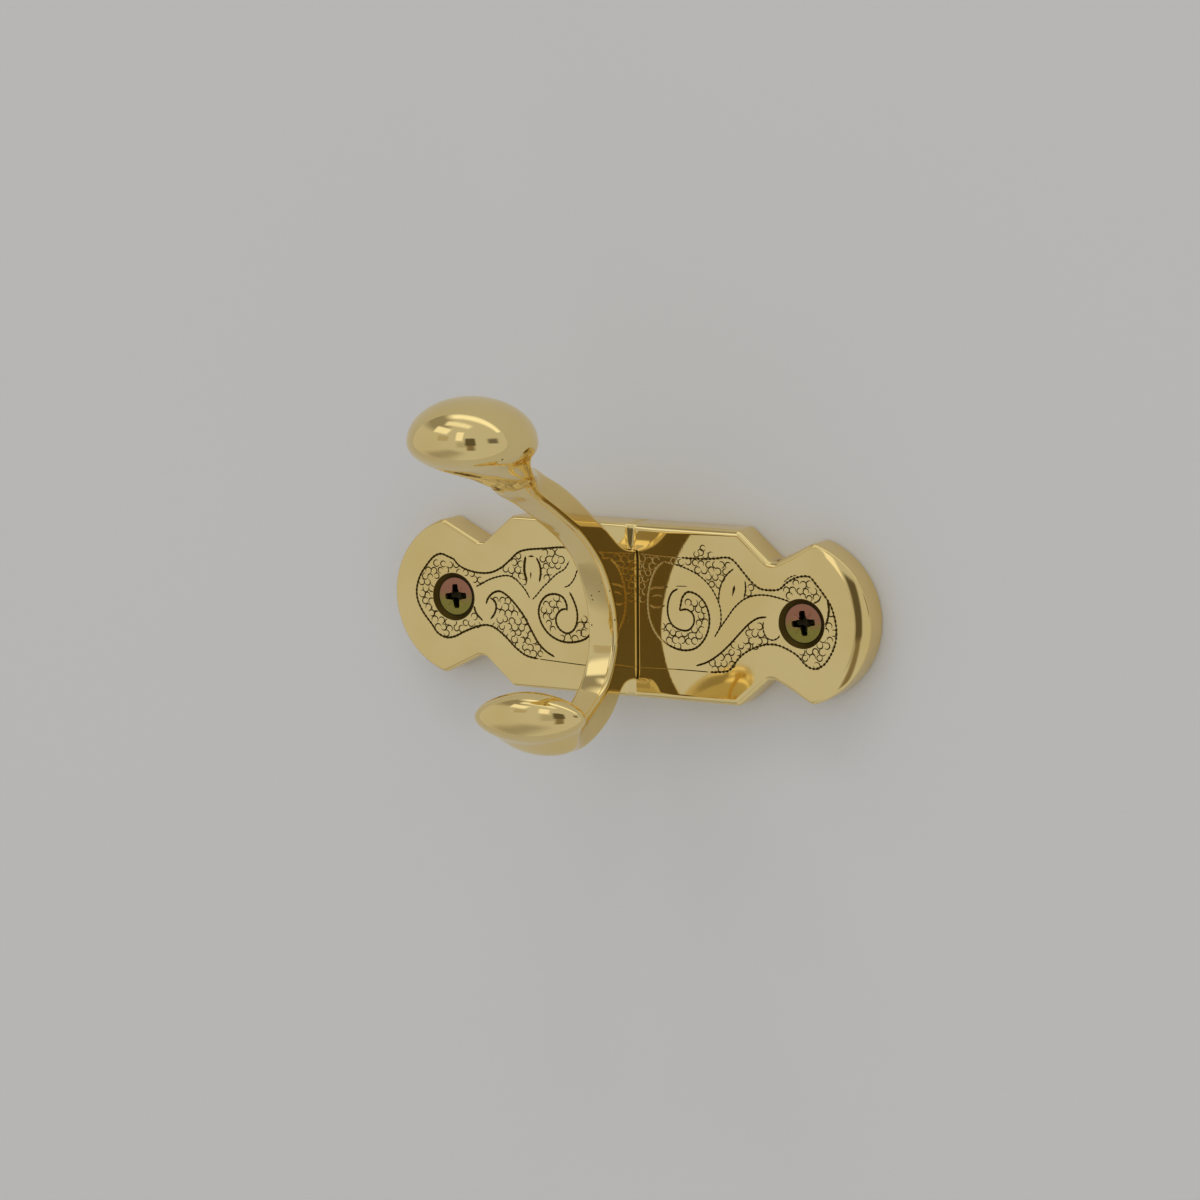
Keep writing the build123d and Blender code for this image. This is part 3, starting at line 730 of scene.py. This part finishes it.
arm = arm_rings()
ball_centre = np.array([-0.3, face_y - 58.7, 39.8])
ball_radii = np.array([12.15, 12.3, 8.6])
olive_centre = np.array([0.1, face_y - 38.8, -15.2])
olive_radii = np.array([12.0, 6.2, 4.8])
upper_end = knob_rings(arm[-1], arm[-2], ball_centre, ball_radii, tilt=6.0, roll=2.0,
                       entry=(4.6, -6.2), spread=(1.1, 1.0, 0.3), under=0.7, power=2.0)
lower_end = knob_rings(arm[0], arm[1], olive_centre, olive_radii, tilt=35.0, roll=4.5,
                       entry=(4.0, -4.6), spread=(1.2, 0.95, 0.5), under=1.0, power=1.75)
rings = np.concatenate([lower_end[::-1], arm, upper_end])
count = rings.shape[1]
k = np.arange(count)
low_cap = np.column_stack([0 * k, k, np.roll(k, -1)])[1:-1]
high_cap = np.column_stack([0 * k, np.roll(k, -1), k])[1:-1] + (len(rings) - 1) * count
hook_points = rings.reshape(-1, 3)
hook_parts = [(hook_points, faces) for faces in (ring_faces(len(rings), count), low_cap, high_cap)]
hook_brass = polished_brass("hook_brass", False)
hook = add_piece("hook_casting", hook_parts, hook_brass, 40)
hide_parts("hook")

# Foot screws
# Two slotted machine screws of plain steel with rolled threads. They are driven from the plate's back into
# tapped holes in the hook's foot, and their countersunk heads lie flush with the back.
foot_low, foot_high = np.array(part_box("foot_screws")) / mm
foot_length = foot_high[1] - foot_low[1]
foot_screw_radius = 2.0
foot_pitch = 0.7
foot_thread_from = 2.2
foot_thread_depth = 0.38
foot_rim = 0.12
foot_point = 0.45
slot_depth = 0.9
slot_half = 0.5
slot_wall = 0.08


def disc_head(radius, recess):
    """A round head's flat: a square grid drawn out to a disc and sunk by recess(u, v).

    A grid point (a, b) of the unit square goes to (a sqrt(1 - b^2 / 2), b sqrt(1 - a^2 / 2)) of the unit
    disc. Returns points as (u, v, depth), the faces, and the indices of the rim in order.
    """
    lines = 81
    a, b = np.meshgrid(np.linspace(-1, 1, lines), np.linspace(-1, 1, lines))
    u, v = a * np.sqrt(1 - b**2 / 2) * radius, b * np.sqrt(1 - a**2 / 2) * radius
    index = np.arange(lines**2).reshape(lines, lines)
    faces = np.stack([index[:-1, :-1], index[:-1, 1:], index[1:, 1:], index[1:, :-1]], -1).reshape(-1, 4)
    edge = np.concatenate([index[0, :-1], index[:-1, -1], index[-1, :0:-1], index[:0:-1, 0]])
    points = np.column_stack([u.ravel(), v.ravel(), recess(u, v).ravel()])
    return points, faces, edge


def screw_parts(x, z, head_y, into, turned, head, profile, thread, pitch, height):
    """A screw along Y: its head's disc, then rings of (radius, distance from the head) with a helical thread.

    From the distance thread[0] to thread[1] a ring's radius falls by up to height between the crests, which
    climb by one pitch in a turn. The fall is height times |2 frac(distance / pitch - angle / 2 pi) - 1| / 0.6
    - 0.25, held between 0 and 1, and the angle's sign is that of the way the screw is driven.
    """
    points, faces, edge = head
    c, s = np.cos(turned), np.sin(turned)
    flat = np.column_stack([x + c * points[:, 0] - s * points[:, 1], head_y + into * points[:, 2],
                            z + s * points[:, 0] + c * points[:, 1]])
    around = np.arctan2(flat[edge, 2] - z, flat[edge, 0] - x)
    rings = [flat[edge]]
    for radius, distance in profile:
        crest = np.abs(2 * ((distance / pitch - into * around / (2 * np.pi)) % 1) - 1)
        low = height * np.clip(crest / 0.6 - 0.25, 0, 1) * (thread[0] <= distance <= thread[1])
        r = np.maximum(radius - low, 0.02)
        rings.append(np.column_stack([x + r * np.cos(around), np.full(len(edge), head_y + into * distance),
                                      z + r * np.sin(around)]))
    tip = rings[-1].mean(0)
    body = np.vstack(rings + [tip[None]])
    k = np.arange(len(edge)) + (len(rings) - 1) * len(edge)
    cap = np.column_stack([k, np.roll(k, -1), np.full(len(k), len(body) - 1)])
    return [(flat, faces), (body, ring_faces(len(rings), len(edge))), (body, cap)]


def plain_metal(name, first, second, rough):
    """A plain metal whose colour drifts between two tones."""
    material, wire, place = new_metal(name)
    drift = wire.node("ShaderNodeTexNoise", None, {"Vector": place, "Scale": 420.0, "Detail": 3.0})
    drift = drift.within(0.3, 0.7)
    feed_shader(material, {"Base Color": wire.mix(drift, first, second), "Roughness": rough + 0.1 * drift})
    return material


def straight_slot(u, v):
    """One slot across a head: a flat floor between two steep walls."""
    return slot_depth * np.clip((slot_half - np.abs(v)) / slot_wall, 0, 1)


slot_head = disc_head(foot_head_radius, straight_slot)
foot_profile = [(foot_head_radius, foot_rim), (foot_screw_radius, foot_head_radius - foot_screw_radius)]
foot_profile += [(foot_screw_radius, d) for d in np.arange(foot_thread_from, foot_length - 0.5, 0.1)]
foot_profile += [(foot_screw_radius - foot_point, foot_length)]
foot_thread = (foot_thread_from, foot_length - 0.4)
foot_parts = []
for z, turned in zip(foot_screw_z, (0.4, 1.9)):
    foot_parts += screw_parts(0, z, foot_high[1], -1, turned, slot_head, foot_profile,
                              foot_thread, foot_pitch, foot_thread_depth)
plain_steel = plain_metal("plain_steel", (0.56, 0.55, 0.53, 1.0), (0.42, 0.41, 0.39, 1.0), 0.3)
foot_screws = add_piece("foot_screws_threaded", foot_parts, plain_steel, 30)
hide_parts("foot_screws")

# Wall screws
# Two countersunk wood screws of steel with a yellow passivated zinc coat, which shows pink and green tints.
# Each has a cross recess with four fine radial marks, and its head lies a little below the plate's face. The
# recess and the rim of each head are painted dark brown, as painted shade.
wall_low, wall_high = np.array(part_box("wall_screws")) / mm
wall_length = wall_high[1] - wall_low[1]
shank_radius = 1.5
thread_radius = 2.0
wall_pitch = 1.8
wall_thread_depth = 0.55
wall_rim = 0.15
point_length = 4.0
tip_radius = 0.02
wing_half = 0.86
wing_taper = 0.13
wing_reach = 2.45
recess_depth = 2.3
recess_slope = 0.35
mark_depth = 0.10
mark_reach = 3.0


def cross_recess(u, v):
    """Two crossed slots with steep walls, deeper towards the middle, and fine radial marks between them."""
    r = np.hypot(u, v)

    def wing(a, b):
        half = wing_half - wing_taper * np.abs(a)
        return np.clip((half - np.abs(b)) / 0.16, 0, 1) * np.clip((wing_reach - np.abs(a)) / 0.45, 0, 1)

    marks = np.clip((0.16 - np.abs(np.abs(u) - np.abs(v)) / 1.4) / 0.1, 0, 1)
    marks = marks * np.clip((mark_reach - r) / 0.4, 0, 1) * (r > 0.8)
    recess = np.maximum(wing(u, v), wing(v, u)) * (recess_depth - recess_slope * r)
    return np.maximum(recess, mark_depth * marks)


cross_head = disc_head(head_radius, cross_recess)
neck = head_radius - shank_radius
thread_from = 0.1 - wall_low[1]
wall_profile = [(head_radius, wall_rim), (shank_radius, neck), (shank_radius, thread_from - 0.05)]
for distance in np.arange(thread_from + 0.02, wall_length - 0.05, 0.2):
    left = np.clip((wall_length - distance) / point_length, 0, 1)
    wall_profile.append((thread_radius * left**0.8, distance))
wall_profile.append((tip_radius, wall_length))
wall_parts = []
for x, turned in ((-screw_x, 0.09), (screw_x, 0.14)):
    wall_parts += screw_parts(x, 0, wall_low[1], 1, turned, cross_head, wall_profile,
                              (thread_from, wall_length), wall_pitch, wall_thread_depth)
zinc_green = (0.30, 0.26, 0.06, 1.0)
zinc_pink = (0.40, 0.185, 0.115, 1.0)
painted_shade_brown = (0.03, 0.025, 0.012, 1.0)
passivated, wire, place = new_metal("passivated_steel")
x, y, z = (wire.node("ShaderNodeSeparateXYZ", None, {0: place}, axis) for axis in range(3))
drift = wire.node("ShaderNodeTexNoise", None, {"Vector": place, "Scale": 300.0, "Detail": 3.0})
tint = (z * 330.0 + drift * 0.8 - 0.1).within(-0.25, 0.75)
# Painted shade: the recess, and all that lies deeper than 0.15 mm below the head's top, is painted dark
# brown.
sunk = y.within((wall_low[1] + 0.15) * mm, (wall_low[1] + 1.0) * mm)
aside = wire.math("ABSOLUTE", x) - screw_x * mm
# Painted shade: a dark ring at the rim of each head, as shade in the gap to its countersink.
rim_painted_shade = wire.math("SQRT", aside * aside + z * z).within(0.93 * head_radius * mm, 0.98 * head_radius * mm)
colour = wire.mix(tint, zinc_green, zinc_pink)
colour = wire.mix(wire.math("MAXIMUM", sunk, rim_painted_shade), colour, painted_shade_brown)
feed_shader(passivated, {"Base Color": colour, "Roughness": 0.3 + 0.12 * drift})
wall_screws = add_piece("wall_screws_threaded", wall_parts, passivated, 30)
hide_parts("wall_screws")

# Wall
# A plain pale plastered backdrop in the plane that the plate is screwed to. It is open behind the plate, and
# it is seen from the front only, so that the plate's back shows from behind.
wall_reach = 900.0
wall_setback = 0.3
wall_under_plate = 1.5
square = wall_reach * np.array([(-1.0, -1.0), (1.0, -1.0), (1.0, 1.0), (-1.0, 1.0)])
wall_points, wall_faces, _ = flat_sheet(wall_setback, square, [rim + inward * wall_under_plate])
wall_mesh = bpy.data.meshes.new("wall")
wall_mesh.from_pydata((wall_points * mm).tolist(), [], wall_faces.tolist())
wall = bpy.data.objects.new("wall", wall_mesh)
bpy.context.scene.collection.objects.link(wall)
plaster = bpy.data.materials.new("plaster")
plaster.use_nodes = True
tree = plaster.node_tree
shader = tree.nodes["Principled BSDF"]
shader.inputs["Base Color"].default_value = (0.85, 0.85, 0.85, 1.0)
shader.inputs["Roughness"].default_value = 0.9
shader.inputs["Specular IOR Level"].default_value = 0.1
wire = Wire(tree)
behind = wire.node("ShaderNodeNewGeometry", out="Backfacing")
clear = wire.node("ShaderNodeBsdfTransparent")
seen = wire.node("ShaderNodeMixShader", None, {0: behind, 1: Wire(tree, shader.outputs[0]), 2: clear})
tree.links.new(seen.socket, tree.nodes["Material Output"].inputs["Surface"])
wall_mesh.materials.append(plaster)

# Light and camera
# A grey room with soft panels, which the polished brass mirrors, and a lamp overhead that lights the wall.
# The camera stands to the right of the hook and a little above it, with a long lens.
room = bpy.data.worlds.new("room")
bpy.context.scene.world = room
room.use_nodes = True
tree = room.node_tree
wire = Wire(tree)
toward = wire.node("ShaderNodeTexCoord", out="Generated")


def panel(azimuth, elevation, half_wide, half_high, soft):
    """1 where a direction of the room falls on a soft-edged panel, and 0 elsewhere. Angles are in degrees.

    The direction is projected on the panel's plane: a = d.right / d.middle and b = d.up / d.middle.
    """
    az, el = np.radians([azimuth, elevation])
    middle = (np.sin(az) * np.cos(el), -np.cos(az) * np.cos(el), np.sin(el))
    right = (np.cos(az), np.sin(az), 0.0)
    up = tuple(np.cross(middle, right) * (1 if np.cross(middle, right)[2] > 0 else -1))
    along = [wire.node("ShaderNodeVectorMath", {"operation": "DOT_PRODUCT"}, {0: toward, 1: axis}, "Value")
             for axis in (middle, right, up)]
    ahead = wire.math("MAXIMUM", along[0], 0.02)
    share = 1.0
    for part, half in ((along[1], half_wide), (along[2], half_high)):
        edge, fade = np.tan(np.radians(half)), np.tan(np.radians(soft))
        offset = wire.math("DIVIDE", wire.math("ABSOLUTE", part), ahead)
        share = share * offset.within(edge + fade, edge - fade)
    return share


light = (0.55, 0.55, 0.55, 1.0)
# Each panel is (azimuth, elevation, half width, half height, softness) in degrees, and its light.
for place, colour in [
    ((0, 87, 55, 6, 4), (1.1, 1.1, 1.08, 1.0)),
    ((-66, 50, 24, 16, 8), (0.30, 0.29, 0.27, 1.0)),
    ((-11, 63, 20, 6, 4), (0.95, 0.94, 0.92, 1.0)),
    ((-36, 39, 14, 8, 3), (1.0, 1.0, 1.0, 1.0)),
    ((7, 26, 6, 14, 2), (1.0, 0.98, 0.95, 1.0)),
    ((-24, 17, 10, 8, 2), (0.46, 0.42, 0.36, 1.0)),
    ((12, -12, 9, 16, 4), (0.44, 0.43, 0.41, 1.0)),
    ((27, -30, 6, 18, 3), (0.22, 0.18, 0.12, 1.0)),
    ((27, 2, 9, 18, 3), (0.115, 0.10, 0.07, 1.0)),
    ((68, 9, 9, 9, 4), (0.16, 0.15, 0.14, 1.0)),
    ((-50, -58, 26, 14, 12), (0.36, 0.35, 0.34, 1.0)),
]:
    light = wire.mix(panel(*place), light, colour)
tree.links.new(light.socket, tree.nodes["Background"].inputs["Color"])
lamp = bpy.data.lights.new("overhead", "AREA")
lamp.shape = "RECTANGLE"
lamp.size = 1.2
lamp.size_y = 0.5
lamp.energy = 3.0
overhead = bpy.data.objects.new("overhead", lamp)
bpy.context.scene.collection.objects.link(overhead)
overhead.location = (-0.15, -0.75, 1.5)
overhead.rotation_euler = (np.radians(-28.0), 0.0, 0.0)
overhead.visible_glossy = False
camera_distance = 700.0
shift_right = -4.6
shift_up = 2.0
azimuth, elevation, roll = np.radians([28.0, 9.1, -0.37])
back = np.array([np.sin(azimuth) * np.cos(elevation),
                 -np.cos(azimuth) * np.cos(elevation),
                 np.sin(elevation)])
level = np.array([np.cos(azimuth), np.sin(azimuth), 0])
upright = np.cross(back, level)
right = level * np.cos(roll) + upright * np.sin(roll)
up = upright * np.cos(roll) - level * np.sin(roll)
eye = np.array([0, face_y, 0]) + camera_distance * back + shift_right * right + shift_up * up
view = bpy.data.cameras.new("view")
view.lens = 105.0
view.sensor_width = 36.0
camera = bpy.data.objects.new("view", view)
bpy.context.scene.collection.objects.link(camera)
turn = np.eye(4)
turn[:3, :3] = np.column_stack([right, up, back])
turn[:3, 3] = eye * mm
camera.matrix_world = Matrix(turn.tolist())
view.clip_start = 0.01
bpy.context.scene.camera = camera
bpy.context.scene.view_settings.view_transform = "Standard"
